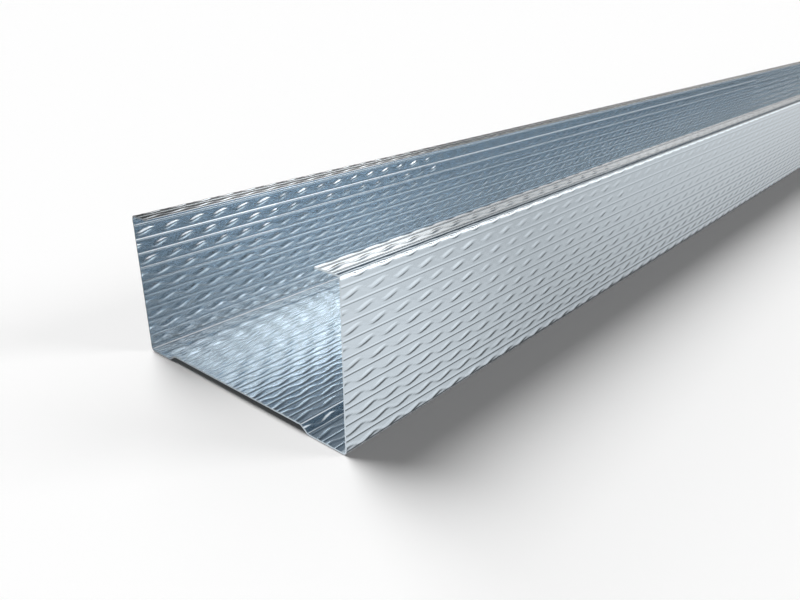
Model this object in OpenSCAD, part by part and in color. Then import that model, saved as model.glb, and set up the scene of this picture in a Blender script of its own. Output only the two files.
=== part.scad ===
// Drywall C stud: one strip of galvanised steel, roll-formed into a lipped channel.
// It lies on its web. X runs across the web, Y along the stud and Z up through the open side.
// The origin is under the middle of the web, half way along the stud.

/* [Section] */
// Depth of the stud, over the outer faces of the two flanges
web_depth = 92; // [60:1:150]
// Height of the long flange, over its lip
long_flange = 50; // [40:0.5:60]
// Height of the short flange, which slides inside the long one when two studs are boxed
short_flange = 47; // [36:0.5:58]
// Width of each returned lip, over the flange's outer face
lip_width = 9; // [6:0.5:14]
// Thickness of the steel strip
gauge = 0.6; // [0.4:0.05:1]
// Inside radius of the four corner bends
corner_radius = 1; // [0.6:0.1:2]

/* [Web stiffener] */
// Height that the middle of the web is pressed up, clear of the floor
stiffener_rise = 2; // [1.5:0.1:3]
// Flat foot of the web beside the long flange, over the flange's outer face
long_side_foot = 14.5; // [10:0.5:18]
// Flat foot of the web beside the short flange, over the flange's outer face
short_side_foot = 10.5; // [8:0.5:16]
// Slope of the two ramps that carry the raised middle
ramp_angle = 35; // [25:1:50]
// Inside radius of the ramps' bends
ramp_radius = 0.8; // [0.4:0.1:1.5]

/* [Length] */
// Length of the stud
stud_length = 2400; // [600:10:4200]

/* [Hidden] */
// Angle between the flat facets that stand for a bend's curve.
facet_angle = 10;
corner_set = corner_radius + gauge;
// A ramp's own flat is what its two bends leave of the rise.
ramp_bends = 2 * ramp_radius + gauge;
ramp_flat = (stiffener_rise - ramp_bends * (1 - cos(ramp_angle))) / sin(ramp_angle);
ramp_run = ramp_bends * sin(ramp_angle) + ramp_flat * cos(ramp_angle);
raised_flat = web_depth - long_side_foot - short_side_foot - 2 * ramp_run;

// The strip's path is a list of steps: a flat of some length, or a bend of some angle and
// inside radius. A positive angle bends the strip towards the inside of the stud.
function flat_step(run) = ["flat", run, 0];
function bend_step(angle, radius) = ["bend", angle, radius];
function corner() = [bend_step(90, corner_radius)];
function ramp(way) = [
    bend_step(way * ramp_angle, ramp_radius),
    flat_step(ramp_flat),
    bend_step(-way * ramp_angle, ramp_radius)
];

// From the short flange's lip, round the web, to the long flange's lip.
strip = concat(
    [flat_step(lip_width - corner_set)],
    corner(),
    [flat_step(short_flange - 2 * corner_set)],
    corner(),
    [flat_step(short_side_foot - corner_set)],
    ramp(1),
    [flat_step(raised_flat)],
    ramp(-1),
    [flat_step(long_side_foot - corner_set)],
    corner(),
    [flat_step(long_flange - 2 * corner_set)],
    corner(),
    [flat_step(lip_width - corner_set)]
);
strip_start = [lip_width - web_depth / 2, short_flange];
strip_heading = 180;

function ahead(heading) = [cos(heading), sin(heading)];
function leftward(heading) = [-sin(heading), cos(heading)];

// Walks the steps along the strip's outer face, with the steel on the left. Each station is
// the point reached and the heading there.
function walk(steps, place, heading, i = 0) =
    i == len(steps) ? []
    : let (size = steps[i][1])
      steps[i][0] == "flat"
        ? let (end = place + size * ahead(heading))
          concat([[end, heading]], walk(steps, end, heading, i + 1))
        : let (
              reach = size > 0 ? steps[i][2] + gauge : -steps[i][2],
              centre = place + reach * leftward(heading),
              facets = ceil(abs(size) / facet_angle),
              arc = [
                  for (k = [1:facets])
                      let (turned = heading + size * k / facets)
                          [centre - reach * leftward(turned), turned]
              ]
          )
          concat(arc, walk(steps, arc[facets - 1][0], heading + size, i + 1));

module section() {
    stations = concat(
        [[strip_start, strip_heading]],
        walk(strip, strip_start, strip_heading)
    );
    last = len(stations) - 1;
    outer_face = [for (s = stations) s[0]];
    inner_face = [
        for (i = [last:-1:0]) stations[i][0] + gauge * leftward(stations[i][1])
    ];
    polygon(concat(outer_face, inner_face));
}

module stud() {
    color("silver")
        translate([0, stud_length / 2, 0])
            rotate([90, 0, 0])
                linear_extrude(height = stud_length)
                    section();
}

stud();
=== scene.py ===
import math

import bpy
import numpy as np
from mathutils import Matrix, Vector


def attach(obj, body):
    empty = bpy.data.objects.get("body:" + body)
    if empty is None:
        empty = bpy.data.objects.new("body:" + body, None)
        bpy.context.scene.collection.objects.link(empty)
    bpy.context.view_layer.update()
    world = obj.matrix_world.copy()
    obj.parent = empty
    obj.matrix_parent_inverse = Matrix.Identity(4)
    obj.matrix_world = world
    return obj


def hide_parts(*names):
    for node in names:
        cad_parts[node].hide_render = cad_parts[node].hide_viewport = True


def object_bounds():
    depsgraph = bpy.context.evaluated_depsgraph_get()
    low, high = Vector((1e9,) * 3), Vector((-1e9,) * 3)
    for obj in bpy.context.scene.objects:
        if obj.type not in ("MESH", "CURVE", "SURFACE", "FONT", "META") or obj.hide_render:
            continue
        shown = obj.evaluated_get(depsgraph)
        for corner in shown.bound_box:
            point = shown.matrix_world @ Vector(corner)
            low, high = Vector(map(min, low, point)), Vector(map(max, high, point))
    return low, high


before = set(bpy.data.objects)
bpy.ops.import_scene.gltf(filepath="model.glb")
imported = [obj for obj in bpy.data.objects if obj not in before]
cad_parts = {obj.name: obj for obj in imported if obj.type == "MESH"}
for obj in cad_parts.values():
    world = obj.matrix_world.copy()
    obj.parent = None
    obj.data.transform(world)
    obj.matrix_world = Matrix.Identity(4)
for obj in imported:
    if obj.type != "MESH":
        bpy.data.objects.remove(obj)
low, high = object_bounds()

# ---------------------------------------------------------------------------------------
# The strip. A drywall stud is one strip of galvanised steel that roll stands fold, bend by
# bend, into a channel: two returned lips, a short and a long flange, and a web whose middle
# is pressed up between two ramps.
# ---------------------------------------------------------------------------------------
WEB_DEPTH = high.x - low.x
LONG_FLANGE = high.z - low.z
SHORT_FLANGE = 0.047
LIP_WIDTH = 0.009
GAUGE = 0.0006
CORNER_RADIUS = 0.001
STIFFENER_RISE = 0.002
LONG_SIDE_FOOT = 0.0145
SHORT_SIDE_FOOT = 0.0105
RAMP_ANGLE = math.radians(35)
RAMP_RADIUS = 0.0008

corner_set = CORNER_RADIUS + GAUGE
ramp_bends = 2 * RAMP_RADIUS + GAUGE
ramp_flat = (STIFFENER_RISE - ramp_bends * (1 - math.cos(RAMP_ANGLE))) / math.sin(RAMP_ANGLE)
ramp_run = ramp_bends * math.sin(RAMP_ANGLE) + ramp_flat * math.cos(RAMP_ANGLE)
raised_flat = WEB_DEPTH - LONG_SIDE_FOOT - SHORT_SIDE_FOOT - 2 * ramp_run

# Each step is a length along the middle of the steel and the angle that it turns through.
corner = (math.pi / 2 * (CORNER_RADIUS + GAUGE / 2), math.pi / 2)
ramp_bend = RAMP_ANGLE * (RAMP_RADIUS + GAUGE / 2)
rise = [(ramp_bend, RAMP_ANGLE), (ramp_flat, 0), (ramp_bend, -RAMP_ANGLE)]
fall = [(ramp_bend, -RAMP_ANGLE), (ramp_flat, 0), (ramp_bend, RAMP_ANGLE)]
strip = [
    (LIP_WIDTH - corner_set, 0),
    corner,
    (SHORT_FLANGE - 2 * corner_set, 0),
    corner,
    (SHORT_SIDE_FOOT - corner_set, 0),
    *rise,
    (raised_flat, 0),
    *fall,
    (LONG_SIDE_FOOT - corner_set, 0),
    corner,
    (LONG_FLANGE - 2 * corner_set, 0),
    corner,
    (LIP_WIDTH - corner_set, 0),
]
strip_width = sum(length for length, turn in strip)


def bend_lines():
    """Where each bend starts and ends across the strip, as (start, end, turn)."""
    reached, bends = 0, []
    for length, turn in strip:
        if turn:
            bends.append((reached, reached + length, turn))
        reached += length
    return bends


def folded(across):
    """The middle of the steel at distances across the flat strip: x, z and the heading there."""
    x, z = np.zeros_like(across), np.zeros_like(across)
    heading = np.zeros_like(across)
    at = np.array([low.x + LIP_WIDTH, SHORT_FLANGE - GAUGE / 2])
    facing, reached = math.pi, 0
    for length, turn in strip:
        here = across >= reached
        run = np.clip(across - reached, 0, length)[here]
        if turn:
            radius = length / turn
            angle = facing + run / radius
            x[here] = at[0] + radius * (np.sin(angle) - math.sin(facing))
            z[here] = at[1] - radius * (np.cos(angle) - math.cos(facing))
            end = facing + turn
            at = at + radius * np.array(
                [math.sin(end) - math.sin(facing), math.cos(facing) - math.cos(end)]
            )
        else:
            angle = np.full_like(run, facing)
            end = facing
            x[here] = at[0] + run * math.cos(facing)
            z[here] = at[1] + run * math.sin(facing)
            at = at + length * np.array([math.cos(facing), math.sin(facing)])
        heading[here] = angle
        facing, reached = end, reached + length
    return x, z, heading


# ---------------------------------------------------------------------------------------
# The knurling. Two engraved rolls leave thin straight ribs along both faces of the flat strip,
# and between each two a wavy ridge, leaf-shaped where it climbs and thin where it drops back,
# half a wave off its neighbours. Folding presses it flatter, most of all on the lips.
# ---------------------------------------------------------------------------------------
OUTER, INNER = 1, -1
ROW_PITCH = 0.00468
# Where each face's first rib runs, from the strip's edge on the short flange's lip.
FIRST_RIB = {OUTER: 0.0006, INNER: 0.0021}
RIB_HALF_WIDTH = 0.00025
WAVE_PITCH = 0.00945
WAVE_HEIGHT = 0.00058
LEAF_HALF_WIDTH = 0.00072
LINK_HALF_WIDTH = 0.0003
# The share of a wave on which the ridge climbs, and how pointed its leaf is there.
CLIMB_SHARE = 0.68
LEAF_POWER = 1.2
# Heights of the ribs, and of the thin links between leaves, as shares of a leaf's height.
RIB_SHARE = 0.5
LINK_SHARE = 0.6
# A ridge's profile rises to this share of its height and is cut off flat at the whole of it.
CREST_RISE = 1.25
# How unevenly the rolls press, by a sine that moves on by these angles each row and each wave.
UNEVENNESS = 0.1
ROW_STEP, WAVE_STEP = 12.9, 78.2


def knurl(face, across, along):
    """Height of the knurling on one face, from 0 in the hollows to 1 on the highest ridges."""
    row = np.floor((across - FIRST_RIB[face]) / ROW_PITCH)
    off_row = across - FIRST_RIB[face] - (row + 0.5) * ROW_PITCH
    rib = RIB_SHARE * np.exp(-(((ROW_PITCH / 2 - abs(off_row)) / RIB_HALF_WIDTH) ** 2))
    wave = along / WAVE_PITCH + 0.5 * (row % 2)
    phase = wave - np.floor(wave)
    climbing = np.minimum(phase / CLIMB_SHARE, 1)
    dropping = (1 - phase) / (1 - CLIMB_SHARE)
    middle = face * WAVE_HEIGHT * -np.cos(math.pi * np.minimum(climbing, dropping))
    swell = np.sin(math.pi * climbing) ** LEAF_POWER
    half_width = LINK_HALF_WIDTH + (LEAF_HALF_WIDTH - LINK_HALF_WIDTH) * swell
    inside = np.clip(CREST_RISE * (1 - ((off_row - middle) / half_width) ** 2), 0, 1)
    pressed = 1 - UNEVENNESS + UNEVENNESS * np.sin(ROW_STEP * row + WAVE_STEP * np.floor(wave))
    height = pressed * (LINK_SHARE + (1 - LINK_SHARE) * swell)
    ridge = height * inside * inside * (3 - 2 * inside)
    return np.maximum(rib, ridge)


# ---------------------------------------------------------------------------------------
# The zinc. The strip's steel is dipped in molten zinc, which sets as a bright coat with faint
# grey flakes and soft dull patches, and the rolls leave a fine grain along it.
# ---------------------------------------------------------------------------------------
# How deep the knurling is on the long flange, and wherever its waves are a bump.
LONG_FLANGE_RELIEF = 0.00016
ZINC = (0.69, 0.78, 0.85, 1)
ZINC_PALE = (0.75, 0.83, 0.895, 1)
FLAKES_PER_METRE = 540
PATCHES_PER_METRE = 14
GRAIN_PER_METRE = 700
GRAIN_STRETCH = 0.12
GRAIN_DEPTH = 0.0001
GRAIN_STRENGTH = 0.05
FLAKE_SHARE = 0.55
ZINC_ROUGHNESS = 0.1
FLAKE_ROUGHNESS = 0.04
PATCH_ROUGHNESS = 0.06
# The share of a bumped ridge's half width that is at its full height.
CREST_SHARE = 0.45


class Wire:
    """A value or a colour on its way through a material, which arithmetic adds Math nodes to."""

    def __init__(self, tree, socket=None):
        self.tree, self.socket = tree, socket

    def add(self, kind, settings=None, output=0, **inputs):
        """Any node: its type, its settings, and its sockets' values or wires, by the socket's
        name with _ for a space, or by its number as i0, i1 and so on."""
        node = self.tree.nodes.new(kind)
        for key, value in (settings or {}).items():
            if key == "stops":
                ramp = node.color_ramp
                while len(ramp.elements) < len(value):
                    ramp.elements.new(0.5)
                for element, (place, colour) in zip(ramp.elements, value):
                    element.position, element.color = place, (*colour, 1)
            else:
                setattr(node, key, value)
        for key, value in inputs.items():
            numbered = key[0] == "i" and key[1:].isdigit()
            socket = node.inputs[int(key[1:]) if numbered else key.replace("_", " ")]
            if isinstance(value, Wire):
                self.tree.links.new(value.socket, socket)
            else:
                socket.default_value = value
        return Wire(self.tree, node.outputs[output]) if node.outputs else None

    def maths(self, operation, *values):
        inputs = {f"i{k}": value for k, value in enumerate(values)}
        return self.add("ShaderNodeMath", {"operation": operation}, **inputs)

    def __add__(self, other):
        return self.maths("ADD", self, other)

    def __radd__(self, other):
        return self.maths("ADD", other, self)

    def __sub__(self, other):
        return self.maths("SUBTRACT", self, other)

    def __rsub__(self, other):
        return self.maths("SUBTRACT", other, self)

    def __mul__(self, other):
        return self.maths("MULTIPLY", self, other)

    def __rmul__(self, other):
        return self.maths("MULTIPLY", other, self)

    def blend(self, low_colour, high_colour):
        """The colour between two, by this wire's value from 0 to 1."""
        settings = {"data_type": "RGBA"}
        inputs = {"i0": self, "i6": low_colour, "i7": high_colour}
        return self.add("ShaderNodeMix", settings, output=2, **inputs)


def galvanised_steel(name, bumped):
    """Bright zinc: faint grey flakes, fine rolling grain along the strip and soft dull patches.
    Where it is bumped it has the knurling's wavy ridges too, worked out much as in knurl()."""
    material = bpy.data.materials.new(name)
    material.use_nodes = True
    tree = material.node_tree
    tree.nodes.clear()
    start = Wire(tree)
    place = start.add("ShaderNodeTexCoord", output="Object")
    drawn = start.add("ShaderNodeMapping", Vector=place, Scale=(1, GRAIN_STRETCH, 1))
    flake = start.add("ShaderNodeTexNoise", Vector=place, Scale=FLAKES_PER_METRE, Detail=1.0)
    grain = start.add("ShaderNodeTexNoise", Vector=drawn, Scale=GRAIN_PER_METRE, Detail=3.0)
    patches = start.add("ShaderNodeTexNoise", Vector=place, Scale=PATCHES_PER_METRE, Detail=2.0)
    colour = (FLAKE_SHARE * flake + (1 - FLAKE_SHARE) * patches).blend(ZINC, ZINC_PALE)
    roughness = ZINC_ROUGHNESS + FLAKE_ROUGHNESS * flake + PATCH_ROUGHNESS * patches
    bump = start.add("ShaderNodeBump", Strength=GRAIN_STRENGTH, Distance=GRAIN_DEPTH, Height=grain)
    if bumped:
        strip_place = start.add("ShaderNodeUVMap", {"uv_map": "rows_and_waves"})
        across = start.add("ShaderNodeSeparateXYZ", output="X", Vector=strip_place)
        along = start.add("ShaderNodeSeparateXYZ", output="Y", Vector=strip_place)
        row = start.maths("FLOOR", across)
        phase = start.maths("FRACT", along + 0.5 * start.maths("FLOORED_MODULO", row, 2.0))
        climbing = start.maths("MINIMUM", phase * (1 / CLIMB_SHARE), 1.0)
        dropping = (1.0 - phase) * (1 / (1 - CLIMB_SHARE))
        turned = start.maths("MINIMUM", climbing, dropping)
        middle = start.maths("COSINE", turned * math.pi) * (-WAVE_HEIGHT / ROW_PITCH)
        swell = start.maths("SINE", climbing * math.pi)
        half_width = LINK_HALF_WIDTH + (LEAF_HALF_WIDTH - LINK_HALF_WIDTH) * swell
        off_middle = (across - row - 0.5 - middle) * ROW_PITCH
        off_share = start.maths("DIVIDE", start.maths("ABSOLUTE", off_middle), half_width)
        rounded = {"interpolation_type": "SMOOTHERSTEP"}
        inside = start.add("ShaderNodeMapRange", rounded, Value=off_share, i1=1.0, i2=CREST_SHARE)
        bump = start.add(
            "ShaderNodeBump",
            Strength=1.0,
            Distance=LONG_FLANGE_RELIEF,
            Height=(LINK_SHARE + (1 - LINK_SHARE) * swell) * inside,
            Normal=bump,
        )
    shader = start.add(
        "ShaderNodeBsdfPrincipled",
        Base_Color=colour,
        Metallic=1.0,
        Roughness=roughness,
        Normal=bump,
    )
    start.add("ShaderNodeOutputMaterial", Surface=shader)
    return material


zinc = galvanised_steel("galvanised_steel", bumped=False)
bumped_zinc = galvanised_steel("galvanised_steel_bumped", bumped=True)

# ---------------------------------------------------------------------------------------
# The stud, as one skin of steel in six stretches that butt together, each a closed mesh.
# The nearer a stretch is to the cut end, the finer its mesh. The longest, at the far end, and
# the faces that the stud turns away have the ribs as shapes and their waves as a bump.
# ---------------------------------------------------------------------------------------
SHORT_FLANGE_RELIEF = 0.0003
WEB_RELIEF = 0.00017
LIP_RELIEF = 0.00009
# Where a row of knurling has its mesh lines, as shares of the way from one rib to the next.
FINEST = (
    (0, 0.035, 0.07, 0.115, 0.18, 0.25, 0.32, 0.4)
    + (0.5, 0.6, 0.68, 0.75, 0.82, 0.885, 0.93, 0.965)
)
FINE = (0, 0.045, 0.1, 0.18, 0.28, 0.39, 0.5, 0.61, 0.72, 0.82, 0.9, 0.955)
MEDIUM = (0, 0.045, 0.1, 0.2, 0.35, 0.5, 0.65, 0.8, 0.9, 0.955)
RIBS_ONLY = (0, 0.065, 0.12, 0.88, 0.935)
# How far a rib reaches to either side, as a share of a row.
RIB_REACH = 0.15
BEND_STEP = math.radians(18)
LEAST_GAP = 0.00012
# What is left free round each face on the map that the finish is baked to.
MAP_MARGIN = 0.006

bends = bend_lines()
channel_start, channel_end = bends[0][1], bends[-2][0]


def in_full(face, across):
    """Whether the rows of knurling at distances across a face have their waves as shapes: those
    of the short flange and the web inside the channel, the long flange's and the lips' outside."""
    row = np.floor((across - FIRST_RIB[face]) / ROW_PITCH)
    middle = FIRST_RIB[face] + (row + 0.5) * ROW_PITCH
    in_channel = (channel_start < middle) & (middle < channel_end)
    return in_channel == (face == INNER)


def lines_across(face, shares):
    """Distances across the strip for a face's mesh lines, denser where waves are shapes."""
    lines = []
    for row in range(-1, math.ceil(strip_width / ROW_PITCH)):
        start = FIRST_RIB[face] + row * ROW_PITCH
        used = shares if in_full(face, start + ROW_PITCH / 2) else RIBS_ONLY
        lines += [start + ROW_PITCH * share for share in used]
    round_bends = [
        np.linspace(start, end, math.ceil(abs(turn) / BEND_STEP) + 1)
        for start, end, turn in bends
    ]
    kept = np.concatenate([[0, strip_width], *round_bends])
    spare = [
        line for line in lines if 0 < line < strip_width and abs(kept - line).min() > LEAST_GAP
    ]
    return np.sort(np.concatenate([kept, spare]))


def relief(across):
    """Depth of the knurling at distances across the strip, easing over at each corner bend."""
    depths = (LIP_RELIEF, SHORT_FLANGE_RELIEF, WEB_RELIEF, LONG_FLANGE_RELIEF, LIP_RELIEF)
    corners = [bends[k] for k in (0, 1, -2, -1)]
    places = [place for start, end, turn in corners for place in (start, end)]
    return np.interp(across, places, np.repeat(depths, 2)[1:-1])


def skin(face, across, along, ribs_only):
    """Points of one face, as a grid with a row for each distance along the stud."""
    x, z, heading = folded(across)
    out = face * np.stack([np.sin(heading), 0 * heading, -np.cos(heading)], -1)
    along = along[:, None]
    off_rib = ((across - FIRST_RIB[face]) / ROW_PITCH + 0.5) % 1 - 0.5
    kept = (abs(off_rib) < RIB_REACH) | (in_full(face, across) & (not ribs_only))
    heights = np.where(kept, knurl(face, across, along), 0.0)
    # Outside, the ridges end at the plain steel's face. Inside, they stand up from it.
    proud = GAUGE / 2 + relief(across) * (heights - (face == OUTER))
    middle = np.stack(np.broadcast_arrays(x, low.y + along, z), -1)
    return middle + proud[..., None] * out


def placed_skin(face, across, along, shares, next_shares):
    """Vertices of one face of a stretch, each with its x, y and z, its place on the baking map,
    and its row and wave. The last line of them follows the next stretch, so no step shows."""
    points = skin(face, across, along, shares is RIBS_ONLY)
    next_across = lines_across(face, next_shares)
    joint = skin(face, next_across, along[-1:], next_shares is RIBS_ONLY)[0]
    points[-1] = np.stack([np.interp(across, next_across, place) for place in joint.T], -1)
    u = across / strip_width * (0.5 - MAP_MARGIN) + (0 if face == OUTER else 0.5)
    v = MAP_MARGIN + (along - along[0]) / (along[-1] - along[0]) * (1 - 2 * MAP_MARGIN)
    rows = face * (across - FIRST_RIB[face]) / ROW_PITCH
    waves = along / WAVE_PITCH
    maps = [*np.meshgrid(u, v), *np.meshgrid(rows, waves)]
    return np.dstack([points, *maps]).reshape(-1, 7)


def seam(first, first_at, second, second_at):
    """Triangles between two lines of vertices, each with its places along the seam."""
    faces, i, j = [], 0, 0
    while i < len(first) - 1 or j < len(second) - 1:
        second_done = j == len(second) - 1
        if second_done or (i < len(first) - 1 and first_at[i + 1] <= second_at[j + 1]):
            faces.append((first[i], first[i + 1], second[j]))
            i += 1
        else:
            faces.append((first[i], second[j + 1], second[j]))
            j += 1
    return np.array(faces)


def steel_object(name, vertices, quads, triangles, bumped):
    """An object of zinc steel: placed vertices, the quads of its knurled faces, the triangles
    of its cut faces, and for each quad whether its waves are a bump."""
    points, bake_places, rows_and_waves = np.split(vertices.astype(np.float32), [3, 5], axis=1)
    loops = np.concatenate([quads.ravel(), triangles.ravel()]).astype(np.int32)
    sizes = np.repeat([4, 3], [len(quads), len(triangles)])
    mesh = bpy.data.meshes.new(name)
    mesh.vertices.add(len(points))
    mesh.vertices.foreach_set("co", points.ravel())
    mesh.loops.add(len(loops))
    mesh.loops.foreach_set("vertex_index", loops)
    mesh.polygons.add(len(sizes))
    mesh.polygons.foreach_set("loop_start", (np.cumsum(sizes) - sizes).astype(np.int32))
    mesh.update(calc_edges=True)
    for map_name, places in (("OFBake", bake_places), ("rows_and_waves", rows_and_waves)):
        mesh.uv_layers.new(name=map_name).uv.foreach_set("vector", places[loops].ravel())
    mesh.polygons.foreach_set("use_smooth", np.arange(len(sizes)) < len(quads))
    mesh.materials.append(zinc)
    mesh.materials.append(bumped_zinc)
    finishes = np.pad(bumped, (0, len(triangles))).astype(np.int32)
    mesh.polygons.foreach_set("material_index", finishes)
    piece = bpy.data.objects.new(name, mesh)
    bpy.context.collection.objects.link(piece)
    return piece


def stretch_of_stud(name, start, end, per_wave, shares, next_shares):
    """A closed mesh of the folded strip from one wave to another, or to the stud's far end, with
    so many rows of vertices a wave."""
    end = min(end, (high.y - low.y) / WAVE_PITCH)
    stops = np.arange(start * per_wave, end * per_wave) / per_wave
    along = np.append(stops, end) * WAVE_PITCH
    vertices, quads, bumped, grids, made = [], [], [], {}, 0
    for face in (OUTER, INNER):
        across = lines_across(face, shares)
        vertices.append(placed_skin(face, across, along, shares, next_shares))
        grid = made + np.arange(len(along) * len(across)).reshape(len(along), len(across))
        grids[face] = grid, across
        made += grid.size
        corners = [grid[:-1, :-1], grid[1:, :-1], grid[1:, 1:], grid[:-1, 1:]]
        quads.append(np.stack(corners[::face], -1).reshape(-1, 4))
        flat = ~in_full(face, (across[:-1] + across[1:]) / 2) | (shares is RIBS_ONLY)
        bumped.append(np.tile(flat, len(along) - 1))
    vertices = np.concatenate(vertices)
    (outer, outer_across), (inner, inner_across) = grids[OUTER], grids[INNER]
    cut_faces = [
        seam(outer[0], outer_across, inner[0], inner_across),
        seam(inner[-1], inner_across, outer[-1], outer_across),
        seam(inner[:, 0], along, outer[:, 0], along),
        seam(outer[:, -1], along, inner[:, -1], along),
    ]
    # The cut faces have vertices of their own, so that the knurled faces stay smooth up to them.
    rims, triangles = np.unique(np.concatenate(cut_faces), return_inverse=True)
    return steel_object(
        name,
        np.concatenate([vertices, vertices[rims]]),
        np.concatenate(quads),
        made + triangles.reshape(-1, 3),
        np.concatenate(bumped),
    )


# From the cut end on: a stretch's name, the wave that it ends at, its rows of vertices a wave
# and its mesh lines in each row of knurling.
STRETCHES = (
    ("stud_cut_end", 6, 16, FINEST),
    ("stud_after_end", 16, 12, FINE),
    ("stud_first_run", 33, 8, MEDIUM),
    ("stud_second_run", 50, 8, MEDIUM),
    ("stud_third_run", 67, 8, MEDIUM),
    ("stud_far_run", math.inf, 0.1, RIBS_ONLY),
)
start = 0
for stretch, following in zip(STRETCHES, (*STRETCHES[1:], STRETCHES[-1])):
    name, end, per_wave, shares = stretch
    piece = stretch_of_stud(name, start, end, per_wave, shares, following[-1])
    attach(piece, "root")
    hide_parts("stud")
    start = end

# ---------------------------------------------------------------------------------------
# The place it is shown in: a pale floor under three wide soft lamps, surroundings painted
# light and dark that only the steel mirrors, and a camera low over the cut end.
# ---------------------------------------------------------------------------------------
FLOOR_HALF = 40
FLOOR_COLOUR = (0.8, 0.8, 0.8, 1)
WHITE = (1, 1, 1, 1)

floor_mesh = bpy.data.meshes.new("floor")
floor_corners = [(-FLOOR_HALF, -FLOOR_HALF), (FLOOR_HALF, -FLOOR_HALF)]
floor_corners += [(x, -y) for x, y in reversed(floor_corners)]
floor_mesh.from_pydata([(x, y, low.z) for x, y in floor_corners], [], [(0, 1, 2, 3)])
floor = bpy.data.objects.new("floor", floor_mesh)
bpy.context.collection.objects.link(floor)
floor_paint = bpy.data.materials.new("floor")
floor_paint.use_nodes = True
floor_paint.node_tree.nodes.clear()
paint = Wire(floor_paint.node_tree)
# White to the camera, in mirrors and through glass, and pale grey for the light it gives back.
kinds = ("Is Camera Ray", "Is Glossy Ray", "Is Transmission Ray")
direct, mirror, glass = [paint.add("ShaderNodeLightPath", output=kind) for kind in kinds]
seen = paint.maths("MINIMUM", direct + mirror + glass, 1.0)
surface = paint.add("ShaderNodeBsdfDiffuse", Color=seen.blend(FLOOR_COLOUR, WHITE))
paint.add("ShaderNodeOutputMaterial", Surface=surface)
floor_mesh.materials.append(floor_paint)
floor.visible_glossy = False


def soft_sun(name, turn, height, width, share):
    """A wide soft lamp, far off, that lights the floor by a share of full white. Turn is from
    +Y towards +X, and all angles are in degrees. The steel doesn't mirror it."""
    lamp = bpy.data.lights.new(name, "SUN")
    lamp.angle = math.radians(width)
    lamp.energy = share * math.pi / math.sin(math.radians(height))
    holder = bpy.data.objects.new(name, lamp)
    holder.rotation_euler = (math.radians(90 - height), 0, math.radians(180 - turn))
    holder.visible_glossy = False
    bpy.context.collection.objects.link(holder)


soft_sun("key_lamp", turn=-88, height=58, width=38, share=0.7)
soft_sun("low_lamp", turn=-70, height=28, width=28, share=0.1)
soft_sun("far_lamp", turn=50, height=28, width=25, share=0.11)

# The panels' lights are painted as shares of this strength.
PANEL_STRENGTH = 5.0
OPEN_AIR = (0.08, 0.08, 0.08, 1)

world = bpy.data.worlds.new("studio")
bpy.context.scene.world = world
world.use_nodes = True
world.node_tree.nodes.clear()
air = Wire(world.node_tree)
direction = air.add("ShaderNodeTexCoord", output="Generated")
sideways = air.add("ShaderNodeSeparateXYZ", output="X", Vector=direction)
lengthways = air.add("ShaderNodeSeparateXYZ", output="Y", Vector=direction)
climb = air.add("ShaderNodeSeparateXYZ", output="Z", Vector=direction)
ahead = air.maths("ABSOLUTE", lengthways)
pitch = air.maths("ARCTAN2", climb, air.maths("ABSOLUTE", sideways))


def panel(by, stops):
    """What the steel mirrors along a wire: each stop is a place, a light there and its warmth."""
    tinted = [
        (place, (light * (1 + warmth), light, light * (1 - warmth)))
        for place, light, warmth in stops
    ]
    return air.add("ShaderNodeValToRGB", {"stops": tinted}, Fac=by)


def side_panel(stops):
    """The mirrored surroundings on one side of the stud, by degrees above the level."""
    lights = [((angle + 90) / 180, light / PANEL_STRENGTH, warm) for angle, light, warm in stops]
    return panel(pitch * (1 / math.pi) + 0.5, lights)


def passing(wire, sharpness):
    """From 0 to 1 as a wire passes 0, the quicker the greater the sharpness."""
    return air.maths("MAXIMUM", air.maths("MINIMUM", wire * sharpness + 0.5, 1.0), 0.0)


left_side = side_panel(
    [
        (-80, 0.3, 0),
        (-45, 1.0, 0),
        (-30, 1.0, 0),
        (-5, 0.4, 0.02),
        (10, 0.15, 0.04),
        (20, 0.06, 0.04),
        (24, 2.3, 0.04),
        (28.5, 2.3, 0.03),
        (31, 0.8, 0),
        (36, 0.4, -0.1),
        (41, 0.25, -0.15),
        (60, 0.12, -0.2),
        (74, 0.12, -0.2),
        (82, 1.0, 0),
        (90, 1.1, 0),
    ]
)
right_side = side_panel(
    [
        (-80, 0.06, 0),
        (-60, 0.12, 0),
        (-52, 0.22, 0),
        (-46, 0.6, 0),
        (-43, 0.74, 0),
        (-35, 0.84, 0),
        (-28, 0.72, 0),
        (-20, 0.95, 0),
        (-5, 1.05, 0.01),
        (2, 2.2, 0.01),
        (8, 2.0, 0.02),
        (19, 2.1, 0.02),
        (21.5, 0.9, 0.02),
        (25.5, 0.9, 0.02),
        (27, 4.4, 0.04),
        (31, 4.4, 0.04),
        (32.3, 0.6, 0),
        (37, 0.25, 0),
        (44, 0.3, 0),
        (48, 2.0, 0.04),
        (58, 2.0, 0.04),
        (62, 0.3, -0.1),
        (74, 0.12, -0.2),
        (82, 1.0, 0),
        (90, 1.1, 0),
    ]
)
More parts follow.
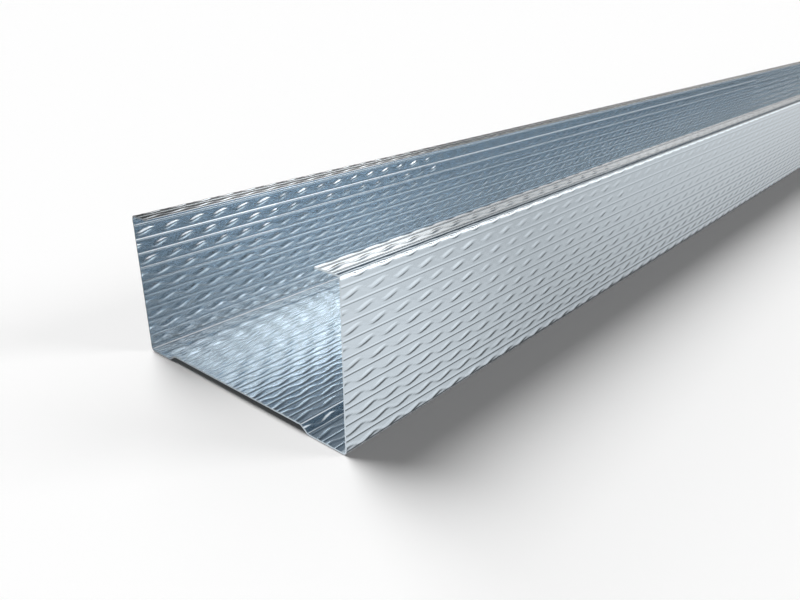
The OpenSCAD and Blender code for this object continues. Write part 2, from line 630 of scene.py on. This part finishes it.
# How the panels' light changes along the stud, from square across it at 0 to along it at 1.
left_tone = panel(
    ahead,
    [(0, 0.8, 0), (0.3, 0.5, 0), (0.42, 0.2, 0), (0.5, 0.5, 0), (0.56, 0.9, 0)]
    + [(0.64, 0.72, 0), (0.71, 0.8, 0), (0.77, 0.4, 0), (0.84, 0.42, 0), (1, 0.55, 0)],
)
low_right_tone = panel(ahead, [(0.68, 1, 0), (0.82, 0.7, 0), (0.9, 0.78, 0), (1, 0.88, 0)])
high_right_tone = panel(
    ahead,
    [(0.42, 0.5, 0), (0.5, 0.75, 0), (0.56, 0.95, 0), (0.63, 1.2, 0), (0.7, 1, 0)]
    + [(0.76, 0.75, 0), (0.85, 0.8, 0), (0.94, 0.6, 0), (1, 0.4, 0)],
)
right_tone = passing(climb, sharpness=5.0).blend(low_right_tone, high_right_tone)
side = passing(sideways, sharpness=3.0)
panels = air.add(
    "ShaderNodeMix",
    {"data_type": "RGBA", "blend_type": "MULTIPLY"},
    output=2,
    i0=1.0,
    i6=side.blend(left_side, right_side),
    i7=side.blend(left_tone, right_tone),
)
camera_ray = air.add("ShaderNodeLightPath", output="Is Camera Ray")
glossy_ray = air.add("ShaderNodeLightPath", output="Is Glossy Ray")
scattered = air.add("ShaderNodeLightPath", output="Diffuse Depth")
mirrored = glossy_ray * (1.0 - air.maths("MINIMUM", scattered, 1.0))
sky = mirrored.blend(camera_ray.blend(OPEN_AIR, WHITE), panels)
strength = mirrored * (PANEL_STRENGTH - 1.0) + 1.0
light = air.add("ShaderNodeBackground", Color=sky, Strength=strength)
air.add("ShaderNodeOutputWorld", Surface=light)

CAMERA_FROM_END = Vector((0.156, -0.1063, 0.1083))
CAMERA_TURN = math.radians(40.89)
CAMERA_TILT = math.radians(22.94)
cut_end = Vector(((low.x + high.x) / 2, low.y, low.z))
camera_data = bpy.data.cameras.new("camera")
camera_data.lens = 31.97
camera_data.sensor_width = 36
camera_data.clip_start = 0.01
camera = bpy.data.objects.new("camera", camera_data)
camera.location = cut_end + CAMERA_FROM_END
camera.rotation_euler = (math.pi / 2 - CAMERA_TILT, 0, CAMERA_TURN)
bpy.context.collection.objects.link(camera)
bpy.context.scene.camera = camera
bpy.context.scene.view_settings.view_transform = "Standard"
